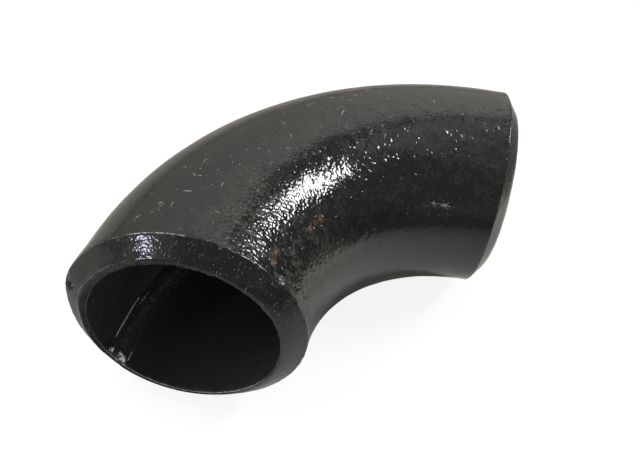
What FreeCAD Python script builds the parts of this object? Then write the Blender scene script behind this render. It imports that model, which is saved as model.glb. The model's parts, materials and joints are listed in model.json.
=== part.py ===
import FreeCAD, Part

import enum
import math
import os

import Sketcher

# A 90 degree long-radius butt-weld pipe elbow, 2 1/2 inch heavy wall, formed from plate and
# closed by one longitudinal seam that is welded from inside and from outside.
#
# The elbow lies flat: the bend is in the XY plane and +Z is up. The origin is the centre of
# port A's face. Port A faces -Y and port B faces +X. Millimetres and degrees.

DIMENSIONS = (
    ("pipe_od", 73.0, "outside diameter of the pipe that the elbow joins"),
    ("wall", 7.5, "thickness of the formed wall"),
    ("centre_to_face", 95.25, "from each port's face to the crossing of the two port axes"),
    ("end_straight", 2.5, "straight length that the facing cut leaves at each end"),
    ("bevel_angle", 37.5, "slope of the weld bevel, from the plane of the port's face"),
    ("root_face", 1.6, "flat land between the bore and the bevel"),
    ("seam_angle", 42.5, "place of the seam, from the outside of the bend towards the floor"),
    ("seam_root_gap", 2.4, "width of the seam where its inner and outer runs meet"),
    ("inner_run_width", 7.6, "width of the inner run at the bore"),
    ("inner_run_crown", 0.6, "rise of the inner run above the line between its edges"),
    ("outer_run_width", 8.6, "width of the outer run at the outer skin"),
    ("outer_run_crown", 0.45, "rise of the outer run above the line between its edges"),
)
START = {name: value for name, value, _ in DIMENSIONS}

# The bevelling tool reaches this far past the outer skin, clear of the outer run's crown.
TOOL_REACH = 4.0

# Distances that several sketches share, written as the sheet's expressions.
OUTER_RADIUS = "dims.pipe_od / 2"
BORE_RADIUS = "dims.pipe_od / 2 - dims.wall"
MID_WALL_RADIUS = "dims.pipe_od / 2 - dims.wall / 2"
LAND_RADIUS = "dims.pipe_od / 2 - dims.wall + dims.root_face"


class EdgePoint(enum.IntEnum):
    """Sketcher's numbers for the points of an edge."""
    START = 1
    END = 2
    CENTRE = 3


# The sketch's own horizontal axis, which starts at the sketch's origin.
HORIZONTAL_AXIS = -1
SKETCH_ORIGIN = (HORIZONTAL_AXIS, EdgePoint.START)


def add_sheet(doc):
    """Put the driving dimensions in a spreadsheet, one named cell each."""
    sheet = doc.addObject("Spreadsheet::Sheet", "dims")
    for row, (name, value, meaning) in enumerate(DIMENSIONS, start=1):
        sheet.set(f"A{row}", meaning)
        sheet.set(f"B{row}", str(value))
        sheet.setAlias(f"B{row}", name)


# --- sketches -------------------------------------------------------------------------------

def add_sketch(body, purpose, plane_role, offset=None):
    """Start a sketch on one of the body's own origin planes."""
    sketch = body.newObject("Sketcher::SketchObject", f"{body.Label}_{purpose}")
    plane = next(item for item in body.Origin.OriginFeatures if item.Role == plane_role)
    sketch.AttachmentSupport = (plane, [""])
    sketch.MapMode = "FlatFace"
    if offset:
        sketch.setExpression("AttachmentOffset", offset)
    return sketch


def draw_line(sketch, first, last):
    return sketch.addGeometry(Part.LineSegment(first, last))


def draw_arc(sketch, centre, first, last):
    """Draw an arc that runs counter-clockwise from first to last."""
    radius = (first - centre).Length
    circle = Part.Circle(centre, FreeCAD.Vector(0, 0, 1), radius)
    start, end = (math.atan2(tip.y - centre.y, tip.x - centre.x) for tip in (first, last))
    return sketch.addGeometry(Part.ArcOfCircle(circle, start, end))


def relate(sketch, kind, *places):
    """Add a geometric constraint."""
    sketch.addConstraint(Sketcher.Constraint(kind, *places))


def drive(sketch, kind, *places, drawn, size):
    """Add a dimension: it has its drawn value, and then follows the sheet."""
    index = sketch.addConstraint(Sketcher.Constraint(kind, *places, drawn))
    sketch.setExpression(f"Constraints[{index}]", size)


# --- the seam's corners ---------------------------------------------------------------------
# In a cross-section sketch the seam lies on the sketch's +X axis. Its corners at the outer
# skin, at the root and at the bore come in pairs, one above that axis and one below it.

def at(x, y):
    return FreeCAD.Vector(x, y, 0)


def below(corner):
    return at(corner.x, -corner.y)


def chord_end(radius, width):
    """The upper end of a chord of this width across the seam."""
    return at(math.sqrt(radius ** 2 - (width / 2) ** 2), width / 2)


SKIN_CORNER = chord_end(START["pipe_od"] / 2, START["outer_run_width"])
ROOT_CORNER = at(START["pipe_od"] / 2 - START["wall"] / 2, START["seam_root_gap"] / 2)
BORE_CORNER = chord_end(START["pipe_od"] / 2 - START["wall"], START["inner_run_width"])


def hold_root(sketch, upper, lower):
    """Hold the two root corners at mid-wall, the root gap apart."""
    relate(sketch, "Symmetric", *upper, *lower, HORIZONTAL_AXIS)
    drive(sketch, "DistanceX", *SKETCH_ORIGIN, *upper, drawn=ROOT_CORNER.x, size=MID_WALL_RADIUS)
    drive(sketch, "DistanceY", *lower, *upper, drawn=2 * ROOT_CORNER.y, size="dims.seam_root_gap")


# --- cross-sections -------------------------------------------------------------------------

def add_section(body):
    """Start a cross-section in port A's face, turned to put the seam on the sketch's +X."""
    turn = "placement(vector(0; 0; 0); rotation(vector(0; 0; 1); 180 + dims.seam_angle))"
    return add_sketch(body, "section", "XZ_Plane", turn)


def draw_shell_section(body):
    """The formed wall: a ring that stops at the seam in two lips, each sloped both ways."""
    sketch = add_section(body)
    skin = draw_arc(sketch, at(0, 0), SKIN_CORNER, below(SKIN_CORNER))
    bore = draw_arc(sketch, at(0, 0), BORE_CORNER, below(BORE_CORNER))
    for arc, corner, radius, width in (
        (skin, SKIN_CORNER, OUTER_RADIUS, "dims.outer_run_width"),
        (bore, BORE_CORNER, BORE_RADIUS, "dims.inner_run_width"),
    ):
        relate(sketch, "Coincident", arc, EdgePoint.CENTRE, *SKETCH_ORIGIN)
        relate(sketch, "Vertical", arc, EdgePoint.START, arc, EdgePoint.END)
        drive(sketch, "Radius", arc, drawn=corner.Length, size=radius)
        drive(sketch, "DistanceY", arc, EdgePoint.END, arc, EdgePoint.START,
              drawn=2 * corner.y, size=width)

    roots = []
    for arc_end, side in ((EdgePoint.START, lambda corner: corner), (EdgePoint.END, below)):
        outer_slope = draw_line(sketch, side(SKIN_CORNER), side(ROOT_CORNER))
        inner_slope = draw_line(sketch, side(ROOT_CORNER), side(BORE_CORNER))
        relate(sketch, "Coincident", skin, arc_end, outer_slope, EdgePoint.START)
        relate(sketch, "Coincident", outer_slope, EdgePoint.END, inner_slope, EdgePoint.START)
        relate(sketch, "Coincident", inner_slope, EdgePoint.END, bore, arc_end)
        roots.append((inner_slope, EdgePoint.START))
    hold_root(sketch, *roots)
    return sketch


def draw_run_section(body, corner, radius, width, crown, outward):
    """One run of weld: from the root, up both lips, and across in a low crown.

    The crown bulges away from the pipe's axis on the outer run, and into the bore on the
    inner one, where outward is -1.
    """
    sketch = add_section(body)
    root = draw_line(sketch, below(ROOT_CORNER), ROOT_CORNER)
    upper_lip = draw_line(sketch, ROOT_CORNER, corner)
    lower_lip = draw_line(sketch, below(ROOT_CORNER), below(corner))
    rise = START[crown]
    crown_radius = (corner.y ** 2 + rise ** 2) / (2 * rise)
    centre = at(corner.x + outward * (rise - crown_radius), 0)
    first, last = (below(corner), corner) if outward > 0 else (corner, below(corner))
    top = draw_arc(sketch, centre, first, last)
    top_lower, top_upper = EdgePoint.START, EdgePoint.END
    if outward < 0:
        top_lower, top_upper = top_upper, top_lower
    summit_place = at(corner.x + outward * rise, 0)
    summit = sketch.addGeometry(Part.Point(summit_place), True)

    relate(sketch, "Coincident", root, EdgePoint.END, upper_lip, EdgePoint.START)
    relate(sketch, "Coincident", root, EdgePoint.START, lower_lip, EdgePoint.START)
    relate(sketch, "Coincident", upper_lip, EdgePoint.END, top, top_upper)
    relate(sketch, "Coincident", lower_lip, EdgePoint.END, top, top_lower)
    hold_root(sketch, (root, EdgePoint.END), (root, EdgePoint.START))

    relate(sketch, "PointOnObject", top, EdgePoint.CENTRE, HORIZONTAL_AXIS)
    relate(sketch, "Vertical", top, top_upper, top, top_lower)
    drive(sketch, "Distance", *SKETCH_ORIGIN, top, top_upper, drawn=corner.Length, size=radius)
    drive(sketch, "DistanceY", top, top_lower, top, top_upper, drawn=2 * corner.y, size=width)
    relate(sketch, "PointOnObject", summit, EdgePoint.START, HORIZONTAL_AXIS)
    relate(sketch, "PointOnObject", summit, EdgePoint.START, top)
    foot, peak = (top, top_upper), (summit, EdgePoint.START)
    first, last = (foot, peak) if outward > 0 else (peak, foot)
    drive(sketch, "DistanceX", *first, *last, drawn=rise, size=f"dims.{crown}")
    return sketch


# --- bend and bevels ------------------------------------------------------------------------

def draw_centreline(body):
    """From port A: a short straight, the quarter bend, and a short straight to port B."""
    sketch = add_sketch(body, "centreline", "XY_Plane")
    far, near = START["centre_to_face"], START["end_straight"]
    bend = far - near
    inlet = draw_line(sketch, at(0, 0), at(0, near))
    arc = draw_arc(sketch, at(bend, near), at(bend, far), at(0, near))
    outlet = draw_line(sketch, at(bend, far), at(far, far))
    relate(sketch, "Coincident", inlet, EdgePoint.START, *SKETCH_ORIGIN)
    relate(sketch, "Vertical", inlet)
    relate(sketch, "Tangent", inlet, EdgePoint.END, arc, EdgePoint.END)
    relate(sketch, "Tangent", arc, EdgePoint.START, outlet, EdgePoint.START)
    relate(sketch, "Horizontal", outlet)
    relate(sketch, "Equal", inlet, outlet)
    drive(sketch, "Distance", inlet, drawn=near, size="dims.end_straight")
    drive(sketch, "DistanceX", *SKETCH_ORIGIN, outlet, EdgePoint.END,
          drawn=far, size="dims.centre_to_face")
    return sketch


def sweep_section(body, section):
    """Carry the cross-section along the centreline."""
    pipe = body.newObject("PartDesign::AdditivePipe", f"{body.Label}_bend")
    pipe.Profile = section
    pipe.Spine = (draw_centreline(body), ["Edge1", "Edge2", "Edge3"])
    return pipe


def cut_bevel(body, port, offset):
    """Turn the weld bevel on one end, round that port's axis.

    The sketch's +Y runs along the port's axis into the elbow, and its origin is the centre of
    the port's face.
    """
    sketch = add_sketch(body, f"bevel_{port}", "XY_Plane", offset)
    land = START["pipe_od"] / 2 - START["wall"] + START["root_face"]
    reach = START["pipe_od"] / 2 + TOOL_REACH
    depth = (reach - land) * math.tan(math.radians(START["bevel_angle"]))
    face = draw_line(sketch, at(land, 0), at(reach, 0))
    side = draw_line(sketch, at(reach, 0), at(reach, depth))
    slope = draw_line(sketch, at(reach, depth), at(land, 0))
    for line, following in ((face, side), (side, slope), (slope, face)):
        relate(sketch, "Coincident", line, EdgePoint.END, following, EdgePoint.START)
    relate(sketch, "PointOnObject", face, EdgePoint.START, HORIZONTAL_AXIS)
    relate(sketch, "Horizontal", face)
    relate(sketch, "Vertical", side)
    drive(sketch, "DistanceX", *SKETCH_ORIGIN, face, EdgePoint.START, drawn=land, size=LAND_RADIUS)
    drive(sketch, "DistanceX", *SKETCH_ORIGIN, face, EdgePoint.END,
          drawn=reach, size=f"{OUTER_RADIUS} + {TOOL_REACH}")
    drive(sketch, "Angle", face, EdgePoint.START, slope, EdgePoint.END,
          drawn=math.radians(START["bevel_angle"]), size="dims.bevel_angle")

    groove = body.newObject("PartDesign::Groove", f"{body.Label}_bevel_{port}_cut")
    groove.Profile = sketch
    groove.ReferenceAxis = (sketch, ["V_Axis"])
    groove.Angle = 360
    return groove


def finish_ends(body, pipe):
    """Bevel both ends, and make sure that each cut takes metal away."""
    port_b = ("placement(vector(dims.centre_to_face; dims.centre_to_face; 0);"
              " rotation(vector(0; 0; 1); 90))")
    cuts = [pipe, cut_bevel(body, "a", None), cut_bevel(body, "b", port_b)]
    body.Document.recompute()
    for before, after in zip(cuts, cuts[1:]):
        if after.Shape.Volume >= before.Shape.Volume:
            raise RuntimeError(f"{after.Label} cuts nothing")


# --- the three pieces -----------------------------------------------------------------------

def make_piece(doc, name, draw_section, *options):
    """Sweep one cross-section round the bend and bevel both of its ends."""
    body = doc.addObject("PartDesign::Body", name)
    section = draw_section(body, *options)
    finish_ends(body, sweep_section(body, section))
    return body


def make_elbow(doc):
    shell = make_piece(doc, "elbow_shell", draw_shell_section)
    inner = make_piece(doc, "seam_inner_bead", draw_run_section, BORE_CORNER, BORE_RADIUS,
                       "dims.inner_run_width", "inner_run_crown", -1)
    outer = make_piece(doc, "seam_outer_bead", draw_run_section, SKIN_CORNER, OUTER_RADIUS,
                       "dims.outer_run_width", "outer_run_crown", 1)
    return shell, inner, outer


def check(doc, pieces):
    """Stop on a failed feature, a loose sketch or a bad solid."""
    for item in doc.Objects:
        if {"Invalid", "Error"} & set(item.State):
            raise RuntimeError(f"{item.Label} failed: {item.State}")
        if item.TypeId == "Sketcher::SketchObject" and item.solve() != 0:
            raise RuntimeError(f"{item.Label} has conflicting constraints")
    for body in pieces:
        if body.Shape.isNull() or not body.Shape.isValid() or len(body.Shape.Solids) != 1:
            raise RuntimeError(f"{body.Label} is not one sound solid")


def main():
    doc = FreeCAD.newDocument("pipe_elbow")
    add_sheet(doc)
    pieces = make_elbow(doc)
    doc.recompute()
    check(doc, pieces)
    os.makedirs("parts", exist_ok=True)
    for body in pieces:
        body.Shape.exportStep(f"parts/{body.Label}.step")
        print(f"{body.Label}: {body.Shape.Volume:.1f} mm3")


main()
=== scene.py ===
import json
import math

import bmesh
import bpy
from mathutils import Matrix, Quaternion, Vector


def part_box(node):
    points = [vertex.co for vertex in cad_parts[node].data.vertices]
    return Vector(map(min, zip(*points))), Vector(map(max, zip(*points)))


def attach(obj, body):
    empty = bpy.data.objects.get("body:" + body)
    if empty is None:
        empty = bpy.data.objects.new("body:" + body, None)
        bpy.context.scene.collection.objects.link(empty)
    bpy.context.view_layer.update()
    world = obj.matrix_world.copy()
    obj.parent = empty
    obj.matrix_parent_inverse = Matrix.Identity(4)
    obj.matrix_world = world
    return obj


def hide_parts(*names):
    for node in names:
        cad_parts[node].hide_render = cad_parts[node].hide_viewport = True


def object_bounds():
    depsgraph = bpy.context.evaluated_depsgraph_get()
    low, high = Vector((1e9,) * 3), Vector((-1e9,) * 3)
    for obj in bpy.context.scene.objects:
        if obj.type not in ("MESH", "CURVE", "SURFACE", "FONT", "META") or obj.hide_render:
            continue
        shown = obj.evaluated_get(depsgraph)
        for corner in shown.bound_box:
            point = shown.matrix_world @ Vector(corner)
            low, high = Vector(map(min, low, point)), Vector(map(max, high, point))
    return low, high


# A 90 degree butt-weld pipe elbow in gloss black varnish: a formed shell that is open along one
# seam, and the two runs of weld that close it. Metres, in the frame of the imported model: the
# bend lies in the XY plane, port A opens towards -Y and port B towards +X.

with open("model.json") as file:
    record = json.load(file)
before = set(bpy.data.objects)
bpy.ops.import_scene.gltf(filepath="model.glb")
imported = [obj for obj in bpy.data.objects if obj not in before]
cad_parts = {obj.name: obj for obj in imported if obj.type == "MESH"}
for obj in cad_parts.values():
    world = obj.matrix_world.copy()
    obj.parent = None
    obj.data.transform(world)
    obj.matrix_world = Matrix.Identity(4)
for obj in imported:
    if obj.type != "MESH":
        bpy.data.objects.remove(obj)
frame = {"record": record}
cad_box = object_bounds()

MM = 0.001
QUARTER = math.pi / 2

# --- the elbow's sizes -----------------------------------------------------------------------

shell_low, shell_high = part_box("elbow_shell")
port_at = {mount["name"]: Vector(mount["pos_m"]) for mount in frame["record"]["mounts"]}

CENTRE_TO_FACE = port_at["port_b_face"].x
OUTER_RADIUS = (shell_high.z - shell_low.z) / 2
WALL = 7.5 * MM
ROOT_FACE = 1.6 * MM
BORE_RADIUS = OUTER_RADIUS - WALL
MIDDLE_RADIUS = OUTER_RADIUS - WALL / 2
LAND_RADIUS = BORE_RADIUS + ROOT_FACE
END_STRAIGHT = 2.5 * MM
BEND_RADIUS = CENTRE_TO_FACE - END_STRAIGHT
BEND_CENTRE = Vector((BEND_RADIUS, END_STRAIGHT, 0))
BEVEL_ANGLE = math.radians(37.5)
BEVEL_DEPTH = (OUTER_RADIUS - LAND_RADIUS) * math.tan(BEVEL_ANGLE)
SEAM_ANGLE = math.radians(42.5)
INNER_RUN_WIDTH = 7.6 * MM
OUTER_RUN_WIDTH = 8.6 * MM
INNER_RUN_CROWN_ANGLE = math.radians(18)
OUTER_RUN_CROWN_ANGLE = math.radians(12)

SEAM_AT_A = Vector((-math.cos(SEAM_ANGLE), 0, -math.sin(SEAM_ANGLE)))
SEAM_AT_B = Vector((0, math.cos(SEAM_ANGLE), -math.sin(SEAM_ANGLE)))
# each port's centre, the way into the tube from it, and the seam's side of it
PORTS = ((Vector((0, 0, 0)), Vector((0, 1, 0)), SEAM_AT_A),
         (Vector((CENTRE_TO_FACE, CENTRE_TO_FACE, 0)), Vector((-1, 0, 0)), SEAM_AT_B))


def section_centre(bend_turn):
    """Centre of the cross-section that the bend has reached after turning this far."""
    return BEND_CENTRE + BEND_RADIUS * Vector((-math.cos(bend_turn), math.sin(bend_turn), 0))


def on_skin(bend_turn, side, radius=OUTER_RADIUS):
    """A place round the bend, in degrees; side 0 is the back of the bend and 90 the top."""
    along, around = math.radians(bend_turn), math.radians(side)
    outward = Vector((-math.cos(along), math.sin(along), 0))
    return (section_centre(along) + radius * math.cos(around) * outward
            + Vector((0, 0, radius * math.sin(around))))


def outward_of_axis(point):
    """How far a point lies from the tube's centre line, towards the back of the bend."""
    spot = point - BEND_CENTRE
    if spot.y < 0:
        return -spot.x - BEND_RADIUS
    if spot.x > 0:
        return spot.y - BEND_RADIUS
    return math.hypot(spot.x, spot.y) - BEND_RADIUS


def tube_place(point):
    """Depth behind the nearer port face, and distance from the tube's centre line."""
    depth = min(point.y, CENTRE_TO_FACE - point.x)
    return depth, math.hypot(outward_of_axis(point), point.z)


# --- camera ----------------------------------------------------------------------------------

CAMERA_PLACE = Vector((0.0381, -0.1238, 0.1714))
CAMERA_AIM = Vector((0.0328, 0.0463, 0.0099))
CAMERA_ROLL = math.radians(9.7)
LENS = 40
SENSOR_WIDTH = 36


def add_camera():
    """The camera, above port A's mouth and tipped a little to one side."""
    data = bpy.data.cameras.new("camera")
    data.lens = LENS
    data.sensor_width = SENSOR_WIDTH
    data.clip_start = 0.01
    data.clip_end = 20
    camera = bpy.data.objects.new("camera", data)
    bpy.context.scene.collection.objects.link(camera)
    camera.location = CAMERA_PLACE
    level = (CAMERA_AIM - CAMERA_PLACE).to_track_quat("-Z", "Y")
    camera.rotation_mode = "QUATERNION"
    camera.rotation_quaternion = level @ Quaternion((0, 0, 1), CAMERA_ROLL)
    bpy.context.scene.camera = camera


# --- shader helpers --------------------------------------------------------------------------

def node(tree, kind, *inputs, **settings):
    """Add a shader node, set it, and join or fill its first inputs in order."""
    made = tree.nodes.new(kind)
    for name, value in settings.items():
        setattr(made, name, value)
    for socket, value in zip(made.inputs, inputs):
        plug(tree, socket, value)
    return made


def plug(tree, socket, value):
    """Join a node's output to a socket, or write a plain value there."""
    if isinstance(value, bpy.types.NodeSocket):
        tree.links.new(value, socket)
    elif value is not None:
        socket.default_value = value


def math_node(tree, operation, *values, clamp=False):
    """Add, multiply or compare numbers."""
    return node(tree, "ShaderNodeMath", *values, operation=operation, use_clamp=clamp).outputs[0]


def vector_node(tree, operation, *values):
    """Work on vectors: a distance or a length comes out as a number, the rest as a vector."""
    made = node(tree, "ShaderNodeVectorMath", *values, operation=operation)
    return made.outputs["Value" if operation in ("DISTANCE", "LENGTH") else "Vector"]


def scaled(tree, vector, factor):
    """A vector or a colour times a number."""
    return vector_node(tree, "SCALE", vector, None, None, factor)


def ramp(tree, factor, stops):
    """A colour ramp through (place, grey or colour) stops."""
    made = node(tree, "ShaderNodeValToRGB", factor)
    elements = made.color_ramp.elements
    while len(elements) < len(stops):
        elements.new(1)
    for element, (place, shade) in zip(elements, stops):
        element.position = place
        element.color = (*shade, 1) if isinstance(shade, tuple) else (shade, shade, shade, 1)
    return made.outputs["Color"]


def spread(tree, value, low, high, to_low=0.0, to_high=1.0):
    """Map a value's range to another one, without going past its ends."""
    return node(tree, "ShaderNodeMapRange", value, low, high, to_low, to_high).outputs[0]


def mix_colour(tree, factor, first, second, blend="MIX"):
    """The first colour, and the second one over it by a share."""
    made = tree.nodes.new("ShaderNodeMix")
    made.data_type = "RGBA"
    made.blend_type = blend
    for place, value in ((0, factor), (6, first), (7, second)):
        plug(tree, made.inputs[place], value)
    return made.outputs[2]


def noise(tree, place, scale, detail=2.0, distortion=0.0):
    """Soft cloudy noise."""
    made = node(tree, "ShaderNodeTexNoise", place)
    plug(tree, made.inputs["Scale"], scale)
    made.inputs["Detail"].default_value = detail
    made.inputs["Distortion"].default_value = distortion
    return made.outputs["Fac"]


def cells(tree, place, scale, feature="F1"):
    """Distance from the middle of a cell, or from its edge."""
    made = node(tree, "ShaderNodeTexVoronoi", place, feature=feature)
    plug(tree, made.inputs["Scale"], scale)
    return made.outputs["Distance"]


def warped(tree, place, scale, reach):
    """Places pushed about by soft noise, so that what lies on them isn't straight or round."""
    push = node(tree, "ShaderNodeTexNoise", place)
    plug(tree, push.inputs["Scale"], scale)
    return vector_node(tree, "ADD", place, scaled(tree, push.outputs["Color"], reach))


def domes(tree, place, scale, steepness, missing, full):
    """Round domes, one to a cell, of which a share is missing and a share is full height."""
    cell = node(tree, "ShaderNodeTexVoronoi", place)
    plug(tree, cell.inputs["Scale"], scale)
    slope = math_node(tree, "MULTIPLY", cell.outputs["Distance"], steepness)
    slope = math_node(tree, "MULTIPLY", slope, slope)
    dome = math_node(tree, "SUBTRACT", 1.0, slope, clamp=True)
    chance = node(tree, "ShaderNodeSeparateXYZ", cell.outputs["Color"]).outputs["X"]
    return math_node(tree, "MULTIPLY", dome, spread(tree, chance, missing, full))


# --- studio ----------------------------------------------------------------------------------

# the room's brightness by height, from 0 straight down to 1 straight up
DIM_WALLS = ((0.44, 0.08), (0.52, 0.10), (0.60, 0.18), (0.72, 0.25), (0.88, 0.26))
FRONT_GLOW = ((0.40, 0.17), (0.58, 0.17), (0.68, 0.0))
PALE_WALLS = ((0.25, (0.35, 0.325, 0.30)), (0.50, (0.38, 0.355, 0.33)),
              (0.60, (0.53, 0.52, 0.48)), (0.735, (0.74, 0.73, 0.69)),
              (0.85, (0.96, 0.95, 0.90)), (0.90, (0.80, 0.79, 0.75)))


def build_world():
    """A pale room on the left, a dim one on the right with a pale ceiling, white to the camera."""
    world = bpy.data.worlds.new("studio")
    bpy.context.scene.world = world
    world.use_nodes = True
    tree = world.node_tree
    tree.nodes.clear()
    direction = node(tree, "ShaderNodeTexCoord").outputs["Generated"]
    x, y, z = node(tree, "ShaderNodeSeparateXYZ", direction).outputs
    height = math_node(tree, "MULTIPLY_ADD", z, 0.5, 0.5)
    towards_front = spread(tree, y, -0.30, -0.80)
    dim_side = mix_colour(tree, towards_front, ramp(tree, height, DIM_WALLS),
                          ramp(tree, height, FRONT_GLOW), "ADD")
    towards_back = spread(tree, x, -0.25, 0.15, 1.0, 1.42)
    pale_side = scaled(tree, ramp(tree, height, PALE_WALLS), towards_back)
    across = math_node(tree, "MULTIPLY_ADD", x, -6.5, -0.35)
    across = math_node(tree, "MULTIPLY_ADD", y, 4.0, across)
    behind = math_node(tree, "MAXIMUM", math_node(tree, "MULTIPLY", y, -2.6), 0.0)
    pale = math_node(tree, "ADD", across, behind, clamp=True)
    walls = mix_colour(tree, pale, dim_side, pale_side)
    lit = spread(tree, y, -0.20, 0.25, 0.54, 0.93)
    lit = math_node(tree, "MULTIPLY", lit, spread(tree, z, 0.87, 0.96, 1.0, 0.70))
    ceiling = node(tree, "ShaderNodeCombineXYZ", lit, lit, lit).outputs[0]
    overhead = spread(tree, z, 0.835, 0.855)
    walls = mix_colour(tree, overhead, walls, ceiling)
    path = node(tree, "ShaderNodeLightPath")
    room = node(tree, "ShaderNodeBackground", walls, 1.0)
    white = node(tree, "ShaderNodeBackground", (1, 1, 1, 1), 1.0)
    chosen = node(tree, "ShaderNodeMixShader", path.outputs["Is Camera Ray"],
                  room.outputs[0], white.outputs[0])
    node(tree, "ShaderNodeOutputWorld", chosen.outputs[0])


LAMP_DISTANCE = 1.2
# each lamp's name, azimuth and elevation, width and height, radiance, roll and colour
LAMPS = (("strip_light", 59, 43.8, 0.60, 0.20, 2.8, -2, (1, 1, 1)),
         ("strip_light_middle", 61.5, 44.4, 0.36, 0.20, 28, -1, (1, 1, 1)),
         ("cool_window", -143, 14.5, 0.12, 0.17, 28, 0, (0.80, 0.82, 1.0)),
         ("low_window", 133, 11.5, 0.26, 0.035, 6, 0, (0.84, 0.86, 1.0)),
         ("roof_light", -90, 51, 0.24, 0.86, 10, 0, (1, 1, 1)))


def add_softbox(name, azimuth, elevation, width, height, radiance, roll, colour):
    """A rectangular lamp that faces the elbow from this bearing; azimuth 0 is +Y."""
    bearing, rise = math.radians(azimuth), math.radians(elevation)
    away = Vector((math.sin(bearing) * math.cos(rise), math.cos(bearing) * math.cos(rise),
                   math.sin(rise)))
    data = bpy.data.lights.new(name, "AREA")
    data.shape = "RECTANGLE"
    data.size = width
    data.size_y = height
    data.energy = radiance * math.pi * width * height
    data.color = colour
    lamp = bpy.data.objects.new(name, data)
    bpy.context.scene.collection.objects.link(lamp)
    centre = (cad_box[0] + cad_box[1]) / 2
    lamp.location = centre + LAMP_DISTANCE * away
    lamp.rotation_mode = "QUATERNION"
    level = away.to_track_quat("Z", "Y")
    lamp.rotation_quaternion = level @ Quaternion((0, 0, 1), math.radians(roll))
    lamp.visible_camera = False


FLOOR_SIZE = 4
FLOOR_MIDDLE = (0.05, 0.05)
UNDER_ELBOW = 0.1 * MM
FLOOR_GREY = (0.85, 0.85, 0.85, 1)
# the colour of the painted shadows in the mirrored floor
FLOOR_SHADOW_GREY = (0.04, 0.04, 0.04, 1)
FLOOR_GLOW = 1.1
FLOOR_GLOW_SHARE = 0.80
# painted light in the mirrored floor on the pale side, lighter at the front than at the back
PALE_FLOOR_FRONT = (0.60, 0.58, 0.54, 1)
PALE_FLOOR_BACK = (0.34, 0.325, 0.295, 1)
# painted light and shade in the mirrored floor: how bright it is on the dim side, by distance in
# metres from its middle, and its tint there, from the front to the back
DIM_FLOOR = ((0.08, 1.0), (0.12, 0.93), (0.16, 0.80), (0.20, 0.58), (0.25, 0.27), (0.32, 0.20))
DIM_FLOOR_TINT = ((0.0, (1.0, 1.0, 1.0)), (0.46, (0.55, 0.55, 0.56)), (0.61, (0.72, 0.72, 0.73)),
                  (0.66, (0.84, 0.83, 0.82)), (0.75, (1.20, 1.16, 1.06)),
                  (0.90, (1.0, 0.97, 0.89)))
# painted shadows in the mirrored floor, round port A, under the bend and towards port B: place
# from the floor's middle, size of the dark part and of the whole spot, and how dark it is
FLOOR_SHADOWS = ((Vector((-0.060, -0.065, 0)), 0.015, 0.045, 0.85),
                (Vector((-0.085, -0.070, 0)), 0.018, 0.040, 0.65),
                (Vector((-0.115, -0.042, 0)), 0.012, 0.034, 0.38),
                (Vector((-0.008, 0.005, 0)), 0.006, 0.026, 0.45),
                (Vector((0.080, 0.035, 0)), 0.015, 0.070, 0.40))


def add_floor():
    """A pale table top; reflections show it in painted shade on the dim side and beside port A."""
    bpy.ops.mesh.primitive_plane_add(size=FLOOR_SIZE,
                                     location=(*FLOOR_MIDDLE, shell_low.z - UNDER_ELBOW))
    floor = bpy.context.object
    floor.name = "floor"
    material = bpy.data.materials.new("pale_floor")
    material.use_nodes = True
    tree = material.node_tree
    tree.nodes.clear()
    place = node(tree, "ShaderNodeTexCoord").outputs["Object"]
    x, y, _ = node(tree, "ShaderNodeSeparateXYZ", place).outputs
    # the floor's colour in reflections: painted light and shade, on a dim side and a pale side
    dim_side = ramp(tree, vector_node(tree, "LENGTH", place), DIM_FLOOR)
    tint = ramp(tree, spread(tree, y, -0.35, 0.15), DIM_FLOOR_TINT)
    dim_side = mix_colour(tree, 1.0, dim_side, tint, "MULTIPLY")
    backward = spread(tree, y, -0.11, 0.02)
    pale_side = mix_colour(tree, backward, PALE_FLOOR_FRONT, PALE_FLOOR_BACK)
    across = math_node(tree, "MULTIPLY", x, -6.0)
    pale = math_node(tree, "MULTIPLY_ADD", y, 4.0, across, clamp=True)
    mirrored = mix_colour(tree, pale, dim_side, pale_side)
    # painted shadows, laid into the floor's colour in reflections
    for centre, dark_size, size, darkness in FLOOR_SHADOWS:
        reach = vector_node(tree, "DISTANCE", place, centre)
        shade = spread(tree, reach, dark_size, size, darkness, 0.0)
        mirrored = mix_colour(tree, shade, mirrored, FLOOR_SHADOW_GREY)
    path = node(tree, "ShaderNodeLightPath")
    seen = mix_colour(tree, path.outputs["Is Glossy Ray"], FLOOR_GREY, mirrored)
    matt = node(tree, "ShaderNodeBsdfDiffuse", seen)
    white = node(tree, "ShaderNodeEmission", (1, 1, 1, 1), FLOOR_GLOW)
    share = math_node(tree, "MULTIPLY", path.outputs["Is Camera Ray"], FLOOR_GLOW_SHARE)
    both = node(tree, "ShaderNodeMixShader", share, matt.outputs[0], white.outputs[0])
    node(tree, "ShaderNodeOutputMaterial", both.outputs[0])
    floor.data.materials.append(material)


# --- varnish ---------------------------------------------------------------------------------

FLOAT, VECTOR = "NodeSocketFloat", "NodeSocketVector"
SCALE_GREY = (0.056, 0.053, 0.046, 1)
SCRATCH_GREY = (0.34, 0.33, 0.31, 1)
CHIP_AND_GLINT_GREY = (0.46, 0.45, 0.43, 1)
RUST_DARK = (0.045, 0.020, 0.010, 1)
RUST_BRIGHT = (0.34, 0.185, 0.090, 1)
WEAR_AND_GLINT_GREY = (0.66, 0.66, 0.66, 1)
# clean iron, and the white of painted glints on the inner run's toes and lumps
IRON_AND_GLINT_WHITE = (0.95, 0.95, 0.97, 1)
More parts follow.
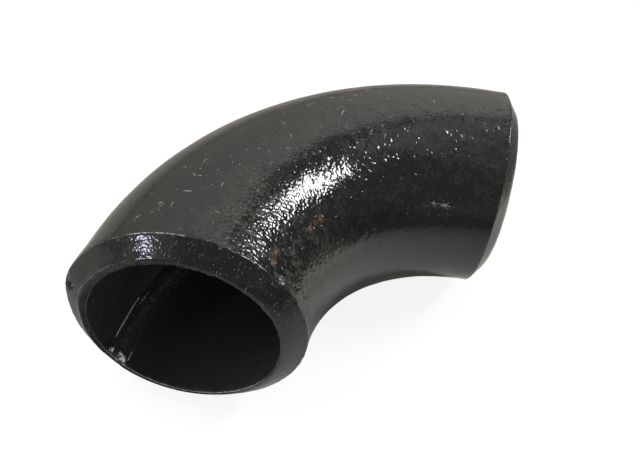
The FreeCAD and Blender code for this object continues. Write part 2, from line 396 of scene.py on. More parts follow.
# how much iron and painted glint shows along the bevel's outer edge, from the back of the bend
# to the inside of it
WEAR_AND_GLINT_AT_A = ((0.12, 0.10), (0.27, 0.20), (0.29, 0.70), (0.32, 0.48), (0.49, 0.48),
               (0.515, 0.03), (0.66, 0.03), (0.70, 0.9), (0.775, 1.0), (0.80, 0.25), (0.90, 0.05))
WEAR_AND_GLINT_AT_B = ((0.50, 0.05), (0.54, 0.24), (0.74, 0.24), (0.78, 0.05))
# a painted highlight in one spot on the skin near port A
GLINT_SPOT_AT = on_skin(2.5, 136.5)
LUMP_SHARE = 1.4
# rust on the skin: its place round the bend and round the tube, in degrees, and its radius
RUST_AT = ((21.8, 135.2, 4.4 * MM), (24.2, 135.0, 4.0 * MM), (26.8, 135.4, 4.2 * MM),
           (5.0, 128.4, 4.2 * MM), (8.2, 127.8, 4.0 * MM))


def start_group(name, inputs, outputs):
    """A new shader node group: its tree, a point's place, its inputs and its outputs."""
    tree = bpy.data.node_groups.new(name, "ShaderNodeTree")
    for label, kind, value in inputs:
        socket = tree.interface.new_socket(label, in_out="INPUT", socket_type=kind)
        socket.default_value = value
    for label in outputs:
        tree.interface.new_socket(label, in_out="OUTPUT", socket_type=FLOAT)
    start = tree.nodes.new("NodeGroupInput")
    end = tree.nodes.new("NodeGroupOutput")
    place = node(tree, "ShaderNodeTexCoord").outputs["Object"]
    return tree, place, start.outputs, end.inputs


def group_node(tree, name, *inputs):
    """A group placed in a material, with its own values; returns its outputs."""
    return node(tree, "ShaderNodeGroup", *inputs, node_tree=bpy.data.node_groups[name]).outputs


def tube_place_group():
    """Where a point lies: Inward from -1 at the back of the bend to 1 inside it, Upward, Along."""
    tree, place, _, out = start_group("tube_place", [], ["Inward", "Upward", "Along"])
    x, y, z = node(tree, "ShaderNodeSeparateXYZ", place).outputs
    beside = math_node(tree, "SUBTRACT", BEND_CENTRE.x, x)
    beyond = math_node(tree, "SUBTRACT", y, BEND_CENTRE.y)
    flat = node(tree, "ShaderNodeCombineXYZ", beside, beyond).outputs[0]
    inward = math_node(tree, "SUBTRACT", BEND_RADIUS, vector_node(tree, "LENGTH", flat))
    plug(tree, out["Inward"], math_node(tree, "DIVIDE", inward, OUTER_RADIUS))
    plug(tree, out["Upward"], math_node(tree, "DIVIDE", z, OUTER_RADIUS))
    angle = math_node(tree, "ARCTAN2", beyond, beside)
    plug(tree, out["Along"], math_node(tree, "DIVIDE", angle, QUARTER))


def relief_group():
    """Orange peel: a fine ripple, low lumps, round nibs that stand apart, and larger drops."""
    tree, place, given, out = start_group(
        "orange_peel", [("Scale", FLOAT, 1250.0), ("Lumps", FLOAT, 1.0), ("Nibs", FLOAT, 0.5),
                        ("Drops", FLOAT, 0.0), ("Ripple", FLOAT, 1.0)],
        ["Height"])
    ripple = noise(tree, place, given["Scale"], 0.0)
    ripple = math_node(tree, "MULTIPLY", ripple, given["Ripple"])
    lumps = noise(tree, place, math_node(tree, "MULTIPLY", given["Scale"], 0.28), 1.0)
    bent = warped(tree, place, given["Scale"], 0.0006)
    nib_scale = math_node(tree, "MULTIPLY", given["Scale"], 0.48)
    nibs = domes(tree, bent, nib_scale, 2.9, 0.25, 0.65)
    drop_scale = math_node(tree, "MULTIPLY", given["Scale"], 0.24)
    drops = domes(tree, bent, drop_scale, 3.2, 0.45, 0.60)
    nibs = math_node(tree, "MULTIPLY_ADD", drops, given["Drops"], nibs)
    height = math_node(tree, "MULTIPLY_ADD", lumps, given["Lumps"], ripple)
    plug(tree, out["Height"], math_node(tree, "MULTIPLY_ADD", nibs, given["Nibs"], height))


def wear_and_glint_group():
    """Bare iron and painted glints in specks: along the bevel's outer edge, fainter on the root
    face, along the low side of the bore's edge, and a painted highlight in one spot on the skin
    near port A."""
    tree, place, given, out = start_group(
        "wear_and_glint_edges", [("Inward", FLOAT, 0.0), ("Upward", FLOAT, 1.0)], ["Wear"])
    x, y, _ = node(tree, "ShaderNodeSeparateXYZ", place).outputs
    from_b = math_node(tree, "SUBTRACT", CENTRE_TO_FACE, x)
    depth = math_node(tree, "MINIMUM", y, from_b)
    specks = spread(tree, noise(tree, place, 1000.0, 1.5), 0.46, 0.58, 0.05, 1.0)

    from_lip = math_node(tree, "ABSOLUTE", math_node(tree, "SUBTRACT", depth, BEVEL_DEPTH))
    lip = spread(tree, from_lip, 0.04 * MM, 0.20 * MM, 1.0, 0.0)
    around = math_node(tree, "MULTIPLY_ADD", given["Inward"], 0.5, 0.5)
    at_b = spread(tree, x, BEND_RADIUS - 20 * MM, BEND_RADIUS - 19 * MM)
    wear_and_glint = mix_colour(tree, at_b, ramp(tree, around, WEAR_AND_GLINT_AT_A),
                        ramp(tree, around, WEAR_AND_GLINT_AT_B))
    wear_and_glint = math_node(tree, "MULTIPLY", wear_and_glint, given["Upward"])
    lip = math_node(tree, "MULTIPLY", lip, wear_and_glint)

    from_land = math_node(tree, "ABSOLUTE", math_node(tree, "SUBTRACT", depth, 0.25 * MM))
    land = spread(tree, from_land, 0.05 * MM, 0.25 * MM, 0.16, 0.0)
    at_back = spread(tree, given["Inward"], -0.7, -0.3, 1.0, 0.0)
    land = math_node(tree, "MULTIPLY", land, at_back)
    edges = math_node(tree, "MULTIPLY", math_node(tree, "MAXIMUM", lip, land), specks)

    rim = spread(tree, depth, 0.05 * MM, 0.30 * MM, 0.9, 0.0)
    rim = math_node(tree, "MULTIPLY", rim, spread(tree, given["Upward"], -0.36, -0.66))
    reach = math_node(tree, "MULTIPLY", given["Inward"], given["Inward"])
    reach = math_node(tree, "MULTIPLY_ADD", given["Upward"], given["Upward"], reach)
    rim_reach = (BORE_RADIUS + 0.35 * MM) / OUTER_RADIUS
    inside_rim = spread(tree, reach, rim_reach ** 2, (rim_reach + 0.008) ** 2, 1.0, 0.0)
    rim = math_node(tree, "MULTIPLY", rim, inside_rim)
    rim = math_node(tree, "MULTIPLY", rim, spread(tree, specks, 0.0, 1.0, 0.35, 0.95))

    from_spot = vector_node(tree, "DISTANCE", place, GLINT_SPOT_AT)
    glint_spot = spread(tree, from_spot, 0.7 * MM, 1.7 * MM, 0.6, 0.0)
    glint_spot = math_node(tree, "MULTIPLY", glint_spot, specks)
    rim = math_node(tree, "MAXIMUM", rim, glint_spot)
    plug(tree, out["Wear"], math_node(tree, "MAXIMUM", edges, rim))


def marks_group():
    """Hairline scratches and small bright chips, which on the ends are also painted glint specks.
    """
    tree, place, given, out = start_group(
        "handling_marks", [("Scale", FLOAT, 70.0), ("Amount", FLOAT, 0.3),
                           ("Chip Size", FLOAT, 0.14), ("Bare Of Chips", FLOAT, 0.54)],
        ["Scratches", "Chips"])
    bent = warped(tree, place, given["Scale"], 0.012)
    line = cells(tree, bent, math_node(tree, "MULTIPLY", given["Scale"], 1.6), "DISTANCE_TO_EDGE")
    thin = spread(tree, line, 0.0, 0.016, 1.0, 0.0)
    breaks = noise(tree, place, math_node(tree, "MULTIPLY", given["Scale"], 4.0))
    scratches = math_node(tree, "MULTIPLY", thin, spread(tree, breaks, 0.60, 0.66))
    plug(tree, out["Scratches"], math_node(tree, "MULTIPLY", scratches, given["Amount"]))
    dots = cells(tree, place, math_node(tree, "MULTIPLY", given["Scale"], 9.0))
    small = spread(tree, dots, 0.05, given["Chip Size"], 1.0, 0.0)
    clumps = noise(tree, place, math_node(tree, "MULTIPLY", given["Scale"], 3.0))
    full_at = math_node(tree, "ADD", given["Bare Of Chips"], 0.08)
    few = spread(tree, clumps, given["Bare Of Chips"], full_at)
    chips = math_node(tree, "MULTIPLY", small, few)
    plug(tree, out["Chips"], math_node(tree, "MULTIPLY", chips, given["Amount"]))


def rust_group():
    """A patch of rust that shows in specks round its centre."""
    tree, place, given, out = start_group(
        "rust_bloom", [("Centre", VECTOR, (0.0, 0.0, 0.0)), ("Radius", FLOAT, 0.005)], ["Rust"])
    distance = vector_node(tree, "DISTANCE", place, given["Centre"])
    near_centre = math_node(tree, "DIVIDE", distance, given["Radius"])
    fade = spread(tree, near_centre, 0.1, 1.0, 0.52, 0.0)
    shown = math_node(tree, "ADD", noise(tree, place, 1900.0, 4.0, 0.8), fade)
    plug(tree, out["Rust"], spread(tree, shown, 0.94, 1.10))


def varnish(name, black, roughness, ripple, height, nibs, marks, flecks, rust=(), coarse=False,
            iron_at="", mark_scale=70.0, chips=(0.14, 0.54)):
    """Gloss black varnish over iron, with its own relief, marks and rust. A coarse one is calm
    on the back of the bend and leathery inside it. Iron and painted glints show at the
    "edges", or as much as the named attribute says. The chips are their size and how bare of
    them the varnish is."""
    material = bpy.data.materials.new(name)
    material.use_nodes = True
    tree = material.node_tree
    shader = tree.nodes["Principled BSDF"]
    place = node(tree, "ShaderNodeTexCoord").outputs["Object"]
    spot = group_node(tree, "tube_place")
    inward, upward, along = spot["Inward"], spot["Upward"], spot["Along"]
    clouds = math_node(tree, "MULTIPLY_ADD", noise(tree, place, 240.0), 0.7,
                       noise(tree, place, 720.0, 4.0))
    mottle = spread(tree, clouds, 0.80, 1.06, 0.0, flecks)
    if coarse:
        inside = spread(tree, inward, -0.25, 0.10, 0.05, 0.30)
        near_a = spread(tree, along, 0.06, 0.36, 1.0, 0.0)
        leathery = math_node(tree, "MULTIPLY", spread(tree, inward, 0.15, 0.45), near_a)
        scale_shown = math_node(tree, "MULTIPLY_ADD", leathery, 1.1, inside)
        calm = spread(tree, inward, 0.80, 0.95, 1.0, 0.1)
        scale_shown = math_node(tree, "MULTIPLY", scale_shown, calm)
        mottle = math_node(tree, "MULTIPLY", mottle, scale_shown)
        handled = math_node(tree, "MULTIPLY", spread(tree, upward, 0.84, 0.92, 0.25, 1.0),
                            spread(tree, inward, 0.0, 0.25, 1.0, 0.3))
        drops = spread(tree, along, 0.34, 0.46, 0.0, 1.7)
        fine = spread(tree, along, 0.38, 0.50, 1.0, 0.6)
    else:
        handled = math_node(tree, "MULTIPLY", spread(tree, upward, 0.10, 0.50, 0.1, 1.0),
                            spread(tree, inward, -0.10, 0.10, 0.1, 1.0))
        drops = 0.0
        fine = 1.0
    colour = mix_colour(tree, mottle, (*black, 1), SCALE_GREY)
    worn = group_node(tree, "handling_marks", mark_scale,
                      math_node(tree, "MULTIPLY", handled, marks), *chips)
    colour = mix_colour(tree, worn["Scratches"], colour, SCRATCH_GREY)
    colour = mix_colour(tree, worn["Chips"], colour, CHIP_AND_GLINT_GREY)
    rough = spread(tree, noise(tree, place, 180.0, 3.0), 0.3, 0.7, roughness * 0.7, roughness * 1.3)
    for bend_turn, side, radius in rust:
        bloom = group_node(tree, "rust_bloom", tuple(on_skin(bend_turn, side)), radius)["Rust"]
        brown = mix_colour(tree, noise(tree, place, 1200.0), RUST_DARK, RUST_BRIGHT)
        colour = mix_colour(tree, bloom, colour, brown)
        rough = math_node(tree, "MULTIPLY_ADD", bloom, 0.3, rough)
    # bare iron and painted glints along the edges
    if iron_at == "edges":
        iron = group_node(tree, "wear_and_glint_edges", inward, upward)["Wear"]
        colour = mix_colour(tree, iron, colour, WEAR_AND_GLINT_GREY)
    elif iron_at:
        # bare iron and painted glints, as much as the attribute says
        shown = node(tree, "ShaderNodeAttribute", attribute_name=iron_at).outputs["Fac"]
        broken = math_node(tree, "MULTIPLY_ADD", noise(tree, place, 1500.0, 3.0), 1.8, shown)
        iron = spread(tree, broken, 1.46, 1.58)
        colour = mix_colour(tree, iron, colour, IRON_AND_GLINT_WHITE)
        rough = math_node(tree, "MULTIPLY_ADD", iron, 0.10, rough)
        plug(tree, shader.inputs["Metallic"], math_node(tree, "MULTIPLY", iron, 0.1))
    peel = group_node(tree, "orange_peel", ripple, LUMP_SHARE, nibs, drops, fine)["Height"]
    if coarse:
        rougher = spread(tree, inward, -0.20, 0.20, 0.45, 1.0)
        rougher = math_node(tree, "MULTIPLY_ADD", leathery, 1.3, rougher)
        calmer = spread(tree, inward, 0.82, 0.97, 1.0, 0.3)
        peel = math_node(tree, "MULTIPLY", peel, math_node(tree, "MULTIPLY", rougher, calmer))
    bump = node(tree, "ShaderNodeBump")
    bump.inputs["Strength"].default_value = 1.0
    bump.inputs["Distance"].default_value = height
    plug(tree, bump.inputs["Height"], peel)
    plug(tree, shader.inputs["Base Color"], colour)
    plug(tree, shader.inputs["Roughness"], rough)
    plug(tree, shader.inputs["Normal"], bump.outputs["Normal"])
    return material


# --- modelling helpers -----------------------------------------------------------------------

def turn(angle, axis, centre):
    """Turn what is selected by the right-hand rule."""
    bpy.ops.transform.rotate(value=-angle, orient_axis=axis, center_override=centre)


def pick(piece, kind, wanted):
    """In edit mode, select the vertices, edges or faces that pass a test."""
    bpy.ops.mesh.select_mode(type=kind)
    bpy.ops.mesh.select_all(action="DESELECT")
    mesh = bmesh.from_edit_mesh(piece.data)
    for part in {"VERT": mesh.verts, "EDGE": mesh.edges, "FACE": mesh.faces}[kind]:
        if wanted(part):
            part.select_set(True)
    bmesh.update_edit_mesh(piece.data)


def start_circle(name, radius, centre, vertices):
    """A circle round the Y axis, alone selected, in edit mode."""
    bpy.ops.object.select_all(action="DESELECT")
    bpy.ops.mesh.primitive_circle_add(vertices=vertices, radius=radius, location=centre,
                                      rotation=(QUARTER, 0, 0))
    piece = bpy.context.object
    piece.name = name
    bpy.ops.object.transform_apply(location=True, rotation=True, scale=True)
    bpy.ops.object.mode_set(mode="EDIT")
    return piece


def sweep_round_bend(piece, angle, steps):
    """Sweep the section round the bend, from port A's side towards port B's."""
    bpy.ops.object.mode_set(mode="OBJECT")
    bpy.context.scene.cursor.location = BEND_CENTRE
    bpy.ops.object.origin_set(type="ORIGIN_CURSOR")
    screw = piece.modifiers.new("sweep", "SCREW")
    screw.angle = -angle
    screw.steps = screw.render_steps = steps
    bpy.ops.object.modifier_apply(modifier="sweep")
    bpy.ops.object.transform_apply(location=True, rotation=True, scale=True)


def join(pieces, name):
    """Make one piece of several."""
    bpy.ops.object.select_all(action="DESELECT")
    for piece in pieces:
        piece.select_set(True)
    bpy.context.view_layer.objects.active = pieces[0]
    bpy.ops.object.join()
    pieces[0].name = name
    return pieces[0]


def displace(piece, name, size, height, group, level=0.5):
    """Raise and sink a surface by soft noise of this size; height is from low to high."""
    texture = bpy.data.textures.new(name, "CLOUDS")
    texture.noise_scale = size
    relief = piece.modifiers.new(name, "DISPLACE")
    relief.texture = texture
    relief.texture_coords = "LOCAL"
    relief.strength = height
    relief.mid_level = level
    relief.vertex_group = group
    bpy.ops.object.modifier_apply(modifier=name)


def weigh(piece, name, weight):
    """A vertex group whose weights come from each vertex's place."""
    group = piece.vertex_groups.new(name=name)
    for vertex in piece.data.vertices:
        value = weight(vertex.co)
        if value > 0:
            group.add([vertex.index], min(value, 1.0), "REPLACE")


def shift(piece, name, distance, direction, weight):
    """Move the surface along its normal or an axis, by a share that each place sets."""
    weigh(piece, name, weight)
    lift = piece.modifiers.new(name, "DISPLACE")
    lift.strength = distance
    lift.mid_level = 0
    lift.direction = direction
    lift.vertex_group = name
    bpy.ops.object.modifier_apply(modifier=name)


def near(centre, reach):
    """A weight that falls softly from one at the centre to nothing at this reach."""
    def weight(point):
        share = max(1 - (point - centre).length / reach, 0)
        return share * share * (3 - 2 * share)
    return weight


# --- the formed shell ------------------------------------------------------------------------

COLUMNS = 300
SEAM_COLUMNS = COLUMNS // 25
BEND_STEPS = 190
# how far the rounding reaches at the outer edge of the root face, at the bevel's outer edge, the
# lip, and at the bore's edge, the rim
CORNER = 0.5 * MM
LIP_CORNER = 0.28 * MM
RIM_CORNER = 0.22 * MM
LONGEST_ROW = 0.8 * MM
# the first rows of the bend, which belong to the prepared ends
LEAD = math.radians(2.8)
LEAD_ROWS = 3
SEAM_HALF_ANGLE = (SEAM_COLUMNS - 1) * math.pi / COLUMNS
MERGE_REACH = 0.1 * MM
SHELL_SMOOTH_ANGLE = math.radians(35)
# how far behind a prepared end the skin's unevenness takes to reach its full height
END_FADE = 4 * MM
LIP_REACH = 0.9 * MM
RIM_REACH = 2 * MM
LAND_EDGE_DEPTH = 3 * MM
LAND_EDGE_REACH = 1.5 * MM
# unevenness of the shell: name, size, height and where
SHELL_RELIEF = (("forming_waves", 22 * MM, 0.35 * MM, "outside"),
                ("lumps", 2.6 * MM, 0.05 * MM, "outside"),
                ("wavy_lip", 1.3 * MM, 0.42 * MM, "lip"),
                ("uneven_rim", 6 * MM, 0.45 * MM, "rim"),
                ("nicked_rim", 1.2 * MM, 0.50 * MM, "rim"))
LAND_WANDER = 0.55 * MM
DRAWN_CORNER_AT = on_skin(0, 17)
DIMPLE_AT = on_skin(0, 14, OUTER_RADIUS - 1.2 * MM)


def rounded(corners, reaches):
    """Points of a line through these corners, with a short curve at each inner one."""
    line = [corners[0]]
    for before, corner, after, reach in zip(corners, corners[1:], corners[2:], reaches):
        start = corner + reach * (before - corner).normalized()
        end = corner + reach * (after - corner).normalized()
        for step in range(4):
            part = step / 3
            line.append(start.lerp(corner, part).lerp(corner.lerp(end, part), part))
    return line + [corners[-1]]


def spaced(line, longest):
    """The same line with points added, so that no stretch is longer than this."""
    points = [line[0]]
    for start, end in zip(line, line[1:]):
        count = math.ceil((end - start).length / longest)
        points += [start.lerp(end, step / count) for step in range(1, count + 1)]
    return points


def open_ring(name, radius, depth):
    """A ring round port A's axis, open where the seam runs."""
    piece = start_circle(name, radius, (0, depth, 0), COLUMNS)
    pick(piece, "VERT", lambda spot: abs(math.atan2(spot.co.z, spot.co.x)) < SEAM_HALF_ANGLE)
    bpy.ops.mesh.delete(type="VERT")
    bpy.ops.mesh.select_all(action="SELECT")
    turn(math.pi - SEAM_ANGLE, "Y", (0, 0, 0))
    return piece


def prepared_ends():
    """Both weld ends: mouth of the bore, root face, bevel and the first rows of the bend."""
    piece = open_ring("prepared_ends", BORE_RADIUS, END_STRAIGHT)
    last_depth = BEVEL_DEPTH + CORNER
    outline = [Vector(corner) for corner in (
        (BORE_RADIUS, END_STRAIGHT), (BORE_RADIUS, 0), (LAND_RADIUS, 0),
        (OUTER_RADIUS, BEVEL_DEPTH), (OUTER_RADIUS, last_depth))]
    outline = spaced(rounded(outline, (RIM_CORNER, CORNER, LIP_CORNER)), LONGEST_ROW)
    for before, after in zip(outline, outline[1:]):
        bpy.ops.mesh.extrude_edges_move()
        growth = after.x / before.x
        bpy.ops.transform.resize(value=(growth, 1, growth), center_override=(0, 0, 0))
        bpy.ops.transform.translate(value=(0, after.y - before.y, 0))
    pivot_x = BEND_RADIUS - (last_depth - END_STRAIGHT) / math.tan(LEAD)
    for _ in range(LEAD_ROWS):
        bpy.ops.mesh.extrude_edges_move()
        turn(-LEAD / LEAD_ROWS, "Z", (pivot_x, last_depth, 0))
    bpy.ops.mesh.select_all(action="SELECT")
    bpy.ops.mesh.duplicate()
    bpy.ops.transform.resize(value=(-1, 1, 1), center_override=(0, 0, 0))
    turn(QUARTER, "Z", (0, 0, 0))
    bpy.ops.transform.translate(value=(CENTRE_TO_FACE, CENTRE_TO_FACE, 0))
    bpy.ops.object.mode_set(mode="OBJECT")
    return piece


def skin_weight(point):
    """None at the bevel, full a few millimetres behind it, and none in the bore."""
    depth, radius = tube_place(point)
    return (depth - BEVEL_DEPTH) / END_FADE if radius > MIDDLE_RADIUS else 0


def lip_weight(point):
    """The outer edge of the bevel."""
    depth, radius = tube_place(point)
    return 1 - max(abs(depth - BEVEL_DEPTH), abs(radius - OUTER_RADIUS)) / LIP_REACH


def rim_weight(point):
    """The edge between the root face and the bore."""
    depth, radius = tube_place(point)
    return 1 - max(depth, radius - BORE_RADIUS) / RIM_REACH


def land_edge_weight(port):
    """The edge between one port's root face and its bevel."""
    centre, inward, _ = port

    def weight(point):
        depth = (point - centre).dot(inward)
        radius = (point - centre - depth * inward).length
        return 1 - max(depth / LAND_EDGE_DEPTH, abs(radius - LAND_RADIUS) / LAND_EDGE_REACH)
    return weight


def formed_shell(skin_finish, end_finish, bore_finish):
    """The shell: its skin and its bore, closed by the prepared ends and the lips of the seam."""
    ends = prepared_ends()
    skin = open_ring("skin", OUTER_RADIUS, END_STRAIGHT)
    turn(-LEAD, "Z", BEND_CENTRE)
    sweep_round_bend(skin, QUARTER - 2 * LEAD, BEND_STEPS)
    bore = open_ring("bore", BORE_RADIUS, END_STRAIGHT)
    sweep_round_bend(bore, QUARTER, BEND_STEPS // 2)
    shell = join([ends, skin, bore], "formed_shell")
    bpy.ops.object.mode_set(mode="EDIT")
    bpy.ops.mesh.select_all(action="SELECT")
    bpy.ops.mesh.remove_doubles(threshold=MERGE_REACH)
    pick(shell, "EDGE", lambda edge: edge.is_boundary)
    bpy.ops.mesh.edge_face_add()
    bpy.ops.mesh.quads_convert_to_tris(quad_method="BEAUTY", ngon_method="BEAUTY")
    bpy.ops.mesh.select_all(action="SELECT")
    bpy.ops.mesh.normals_make_consistent(inside=False)
    for finish in (skin_finish, end_finish, bore_finish):
        shell.data.materials.append(finish)
    zones = (
        (1, lambda depth, radius: depth < BEVEL_DEPTH and radius > BORE_RADIUS + CORNER / 2),
        (2, lambda depth, radius: radius < BORE_RADIUS + CORNER / 2))
    for slot, inside in zones:
        pick(shell, "FACE", lambda face: inside(*tube_place(face.calc_center_median())))
        shell.active_material_index = slot
        bpy.ops.object.material_slot_assign()
    bpy.ops.object.mode_set(mode="OBJECT")
    weigh(shell, "outside", skin_weight)
    weigh(shell, "lip", lip_weight)
    weigh(shell, "rim", rim_weight)
    for name, size, height, group in SHELL_RELIEF:
        displace(shell, name, size, height, group)
    shift(shell, "uneven_land_a", -LAND_WANDER, "X", land_edge_weight(PORTS[0]))
    shift(shell, "uneven_land_b", LAND_WANDER, "Y", land_edge_weight(PORTS[1]))
    shift(shell, "drawn_corner", 0.8 * MM, "NORMAL", near(DRAWN_CORNER_AT, 13 * MM))
    shift(shell, "dimple", -1.80 * MM, "NORMAL", near(DIMPLE_AT, 2.1 * MM))
    bpy.ops.object.shade_smooth_by_angle(angle=SHELL_SMOOTH_ANGLE)
    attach(shell, "root")
    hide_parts("elbow_shell")


# --- the seam --------------------------------------------------------------------------------

RUN_STEPS = 240
CAP_STEPS = 16
STRAIGHT_STEPS = 6
RUN_SMOOTH_ANGLE = math.radians(40)
TINY = 0.001 * MM
# a run is swept this far past a port's face and cut this much proud of the face and the bevel,
# in flats that are numbered from the seam's middle
PAST_FACE = 1 * MM
PROUD = 0.02 * MM
BEVEL_FLATS = (-2, -1, 0, 1, 2)
# the outer run is ground down over this length at each port and rises over the next one
DRESSED_LENGTH = 6 * MM
DRESSED_FADE = 8 * MM
# the inner run's rough stop: how fast it starts behind a face, where it ends and how fast
STOP_RISE = 0.5 * MM
STOP_LENGTH = 5 * MM
STOP_FADE = 3 * MM
RUN_OUT_LENGTH = 2.5 * MM
LUMP_RISE = 0.4 * MM
LUMP_STEEPNESS = 1.6
TOE_WIDTH = 0.5 * MM
# the inner run's surface is what lies within these radii: at its stops, on the lumps, and where
# iron and painted glints can show
STOP_SURFACE = BORE_RADIUS + 0.1 * MM
LUMP_SURFACE = BORE_RADIUS + 0.3 * MM
BARE_AND_GLINT_SURFACE = BORE_RADIUS + 0.6 * MM
BARE_AND_GLINT_HALF_WIDTH = 0.35 * MM
BARE_AND_GLINT_AT_ENDS = 0.4
# bare iron lines, with painted glint, along the inner run: distance beside the seam's middle,
# the depths they start, are barest and end at, and how bare they get
BARE_AND_GLINT_LINES = ((INNER_RUN_WIDTH / 2, 6 * MM, 14 * MM, 23 * MM, 2.2),
              (INNER_RUN_WIDTH / 2 - 1.3 * MM, 19 * MM, 22 * MM, 31 * MM, 0.9),
              (INNER_RUN_WIDTH / 2 - 1.8 * MM, 3 * MM, 6 * MM, 9 * MM, 0.6),
              (-INNER_RUN_WIDTH / 2, 1.5 * MM, 3 * MM, 6 * MM, 2.6))
# lumps where the inner run stops: distance beside the seam's middle, depth behind the port's
# face, and radius
STOP_LUMPS = ((3.7 * MM, 1.3 * MM, 1.4 * MM), (0.2 * MM, 1.5 * MM, 1.3 * MM),
              (-1.5 * MM, 0.9 * MM, 1.7 * MM))
# how bare the lumps are, which also paints glints on them
LUMP_BARENESS_AND_GLINT = 0.90


def beside_seam(point):
    """Distance of a point from the middle of the seam, measured across it."""
    return outward_of_axis(point) * math.sin(SEAM_ANGLE) + point.z * math.cos(SEAM_ANGLE)


def run_section(name, width, crown_angle, surface_radius, outward):
    """A run's outline across the seam: its crowned cap and its root at the middle of the wall."""
    cap_radius = width / 2 / math.sin(crown_angle)
    edge_at = math.sqrt(surface_radius ** 2 - (width / 2) ** 2)
    centre_at = edge_at - outward * cap_radius * math.cos(crown_angle)
    piece = start_circle(name, cap_radius, (centre_at, 0, 0),
                         round(CAP_STEPS * math.pi / crown_angle))
    pick(piece, "VERT", lambda spot: outward * (spot.co.x - edge_at) < -TINY)
    bpy.ops.mesh.delete(type="VERT")
    pick(piece, "VERT", lambda spot: len(spot.link_edges) == 1)
    bpy.ops.mesh.extrude_vertices_move()
    narrowing = MIDDLE_RADIUS * math.sin(SEAM_HALF_ANGLE) / (width / 2)
    bpy.ops.transform.resize(value=(0, 1, narrowing), center_override=(MIDDLE_RADIUS, 0, 0))
    bpy.ops.mesh.edge_face_add()
    bpy.ops.mesh.select_all(action="SELECT")
    turn(math.pi - SEAM_ANGLE, "Y", (0, 0, 0))
    bpy.ops.transform.translate(value=(0, END_STRAIGHT, 0))
    return piece


def dress_end(centre, inward, seam_side, width):
    """Cut a run flush with the face and, in a few flats, with the bevel round it."""
    cuts = [(centre, inward)]
    for flat in BEVEL_FLATS:
        angle = flat * width / LAND_RADIUS / len(BEVEL_FLATS)
        side = Quaternion(inward, angle) @ seam_side
        cuts.append((centre + LAND_RADIUS * side, inward - math.tan(BEVEL_ANGLE) * side))
    for place, into in cuts:
        into = into.normalized()
        bpy.ops.mesh.select_all(action="SELECT")
        bpy.ops.mesh.bisect(plane_co=place - PROUD * into, plane_no=into, use_fill=True,
                            clear_inner=True, threshold=TINY)


def lump_weight(point):
    """Full on the lumps at the inner run's stops, falling to none round them."""
    depth, radius = tube_place(point)
    if radius > LUMP_SURFACE:
        return 0
    beside = beside_seam(point)
    share = max(1 - math.hypot(beside - lump_at, depth - lump_depth) / size
                for lump_at, lump_depth, size in STOP_LUMPS)
    return min(max(LUMP_STEEPNESS * share, 0), 1)


def show_bare_iron_and_glints(piece):
    """Mark where the varnish has gone and glints are painted: lines along the run, and the lumps
    at both stops.
    """
    bare = piece.data.attributes.new("bare", "FLOAT", "POINT")
    for vertex in piece.data.vertices:
        depth, radius = tube_place(vertex.co)
        if radius > BARE_AND_GLINT_SURFACE:
            continue
        beside = beside_seam(vertex.co)
        shown = lump_weight(vertex.co) * LUMP_BARENESS_AND_GLINT
        for line_at, first, barest, last, glint_and_bareness in BARE_AND_GLINT_LINES:
            if abs(beside - line_at) < BARE_AND_GLINT_HALF_WIDTH and first < depth < last:
                rise = min((depth - first) / (barest - first), 1)
                fall = min((last - depth) / (last - barest), 1)
                fullness = BARE_AND_GLINT_AT_ENDS + (1 - BARE_AND_GLINT_AT_ENDS) * rise * fall
                shown = max(shown, glint_and_bareness * fullness)
        bare.data[vertex.index].value = shown


def finish_ends(piece, end_finish):
    """Give the dressed faces the finish of the prepared ends."""
    piece.data.materials.append(end_finish)

    def dressed(face):
        middle = face.calc_center_median()
        return any(abs(face.normal.dot(inward)) > 0.5
                   and abs((middle - centre).dot(inward)) < BEVEL_DEPTH
                   for centre, inward, _ in PORTS)
    pick(piece, "FACE", dressed)
    piece.active_material_index = 1
    bpy.ops.object.material_slot_assign()


def stop_weight(point):
    """The inner run's surface where it stops, just behind a port's face."""
    depth, radius = tube_place(point)
    if radius > STOP_SURFACE:
        return 0
    return min(depth / STOP_RISE, (STOP_LENGTH - depth) / STOP_FADE)


def free_of_ends(point):
    """None at a prepared end, full a few millimetres behind it."""
    return (tube_place(point)[0] - BEVEL_DEPTH) / END_FADE


def seam_run(name, node_name, width, crown_angle, surface_radius, outward, finish, end_finish):
    """One run of weld, swept round the bend and dressed flush with the prepared ends."""
    piece = run_section(name, width, crown_angle, surface_radius, outward)
    sweep_round_bend(piece, QUARTER, RUN_STEPS)
    bpy.ops.object.mode_set(mode="EDIT")
    for centre, inward, seam_side in PORTS:
        start = centre + END_STRAIGHT * inward
        pick(piece, "EDGE", lambda edge: edge.is_boundary and all(
            abs((vertex.co - start).dot(inward)) < TINY * 10 for vertex in edge.verts))
        step = -(END_STRAIGHT + PAST_FACE) / STRAIGHT_STEPS * inward
        for _ in range(STRAIGHT_STEPS):
            bpy.ops.mesh.extrude_edges_move()
            bpy.ops.transform.translate(value=step)
        dress_end(centre, inward, seam_side, width)
    bpy.ops.mesh.select_all(action="SELECT")
    bpy.ops.mesh.normals_make_consistent(inside=False)
    piece.data.materials.append(finish)
    finish_ends(piece, end_finish)
    bpy.ops.object.mode_set(mode="OBJECT")
    weigh(piece, "free", free_of_ends)
    displace(piece, name + "_flow", 6 * MM, 0.20 * MM, "free")
    bpy.ops.object.shade_smooth_by_angle(angle=RUN_SMOOTH_ANGLE)
    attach(piece, "root")
    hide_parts(node_name)
    return piece


def crown_height(width, crown_angle):
    """How far a run's crown stands above the line between its edges."""
    return width / 2 * math.tan(crown_angle / 2)


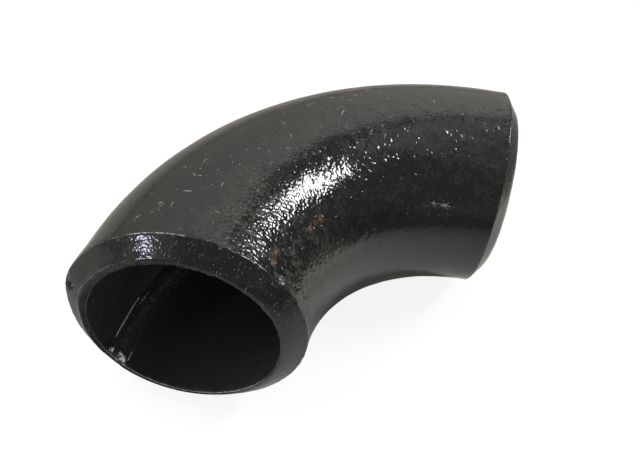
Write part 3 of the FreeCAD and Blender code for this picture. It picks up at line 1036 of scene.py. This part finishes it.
def dressed_outer_run(finish, end_finish):
    """The run on the outside, ground down to the tube over its last stretch at each port."""
    run = seam_run("seam_outer_run", "seam_outer_bead", OUTER_RUN_WIDTH, OUTER_RUN_CROWN_ANGLE,
                   OUTER_RADIUS, 1, finish, end_finish)
    crown = crown_height(OUTER_RUN_WIDTH, OUTER_RUN_CROWN_ANGLE)

    def proud_near_end(point):
        depth, radius = tube_place(point)
        return (radius - OUTER_RADIUS) / crown * (1 - (depth - DRESSED_LENGTH) / DRESSED_FADE)
    shift(run, "dressed_stretch", -crown, "NORMAL", proud_near_end)


def burred_inner_run(finish, end_finish):
    """The run inside the bore: undressed, with a burr along its toes and lumps at its stops."""
    run = seam_run("seam_inner_run", "seam_inner_bead", INNER_RUN_WIDTH, INNER_RUN_CROWN_ANGLE,
                   BORE_RADIUS, -1, finish, end_finish)
    crown = crown_height(INNER_RUN_WIDTH, INNER_RUN_CROWN_ANGLE)

    def proud_at_stop(point):
        depth, radius = tube_place(point)
        return (BORE_RADIUS - radius) / crown * (1 - (depth - STOP_RISE) / RUN_OUT_LENGTH)
    shift(run, "run_out", -crown, "NORMAL", proud_at_stop)
    toe_at = INNER_RUN_WIDTH / 2 - TOE_WIDTH
    weigh(run, "toes", lambda point: abs(beside_seam(point)) > toe_at)
    weigh(run, "stop", stop_weight)
    displace(run, "toe_burr", 2.5 * MM, 0.45 * MM, "toes", 0.25)
    displace(run, "rough_stop", 1.5 * MM, 1.2 * MM, "stop", 0.40)

    def lump_behind_face(point):
        depth, _ = tube_place(point)
        return lump_weight(point) * min(depth / LUMP_RISE, 1)
    shift(run, "stop_lumps", 1.0 * MM, "NORMAL", lump_behind_face)
    show_bare_iron_and_glints(run)


# --- make it ---------------------------------------------------------------------------------

add_camera()
build_world()
for lamp in LAMPS:
    add_softbox(*lamp)
add_floor()
bpy.context.scene.view_settings.view_transform = "Standard"

tube_place_group()
relief_group()
marks_group()
rust_group()
wear_and_glint_group()
BLACK = (0.0085, 0.0083, 0.0078)
BORE_BLACK = (0.040, 0.040, 0.042)
# the inner run's varnish is lighter and bluer than the skin's: painted bluish sheen
INNER_RUN_BLACK_AND_SHEEN = (0.046, 0.046, 0.056)
OUTER_RUN_BLACK = (0.0100, 0.0097, 0.0091)
skin_varnish = varnish("skin_varnish", BLACK, roughness=0.085, ripple=1150.0,
                       height=0.068 * MM, nibs=1.25, marks=1.0, flecks=1.0, rust=RUST_AT,
                       coarse=True, iron_at="edges")
# the ends' chips are larger and closer: real chips, and painted glint specks on the bevel
end_varnish = varnish("end_varnish", BLACK, roughness=0.11, ripple=1600.0, height=0.045 * MM,
                      nibs=1.5, marks=0.9, flecks=0.15, iron_at="edges", mark_scale=120.0,
                      chips=(0.17, 0.44))
bore_varnish = varnish("bore_varnish", BORE_BLACK, roughness=0.24, ripple=700.0,
                       height=0.04 * MM, nibs=0.1, marks=0.1, flecks=0.08)
# the weld's varnish shows bare iron and painted glints where the "bare" attribute says
weld_varnish = varnish("weld_varnish", INNER_RUN_BLACK_AND_SHEEN, roughness=0.13, ripple=900.0,
                       height=0.10 * MM, nibs=0.4, marks=0.2, flecks=0.15, iron_at="bare")
outer_run_varnish = varnish("outer_run_varnish", OUTER_RUN_BLACK, roughness=0.10, ripple=900.0,
                            height=0.09 * MM, nibs=0.7, marks=0.4, flecks=0.3)

formed_shell(skin_varnish, end_varnish, bore_varnish)
burred_inner_run(weld_varnish, end_varnish)
dressed_outer_run(outer_run_varnish, end_varnish)
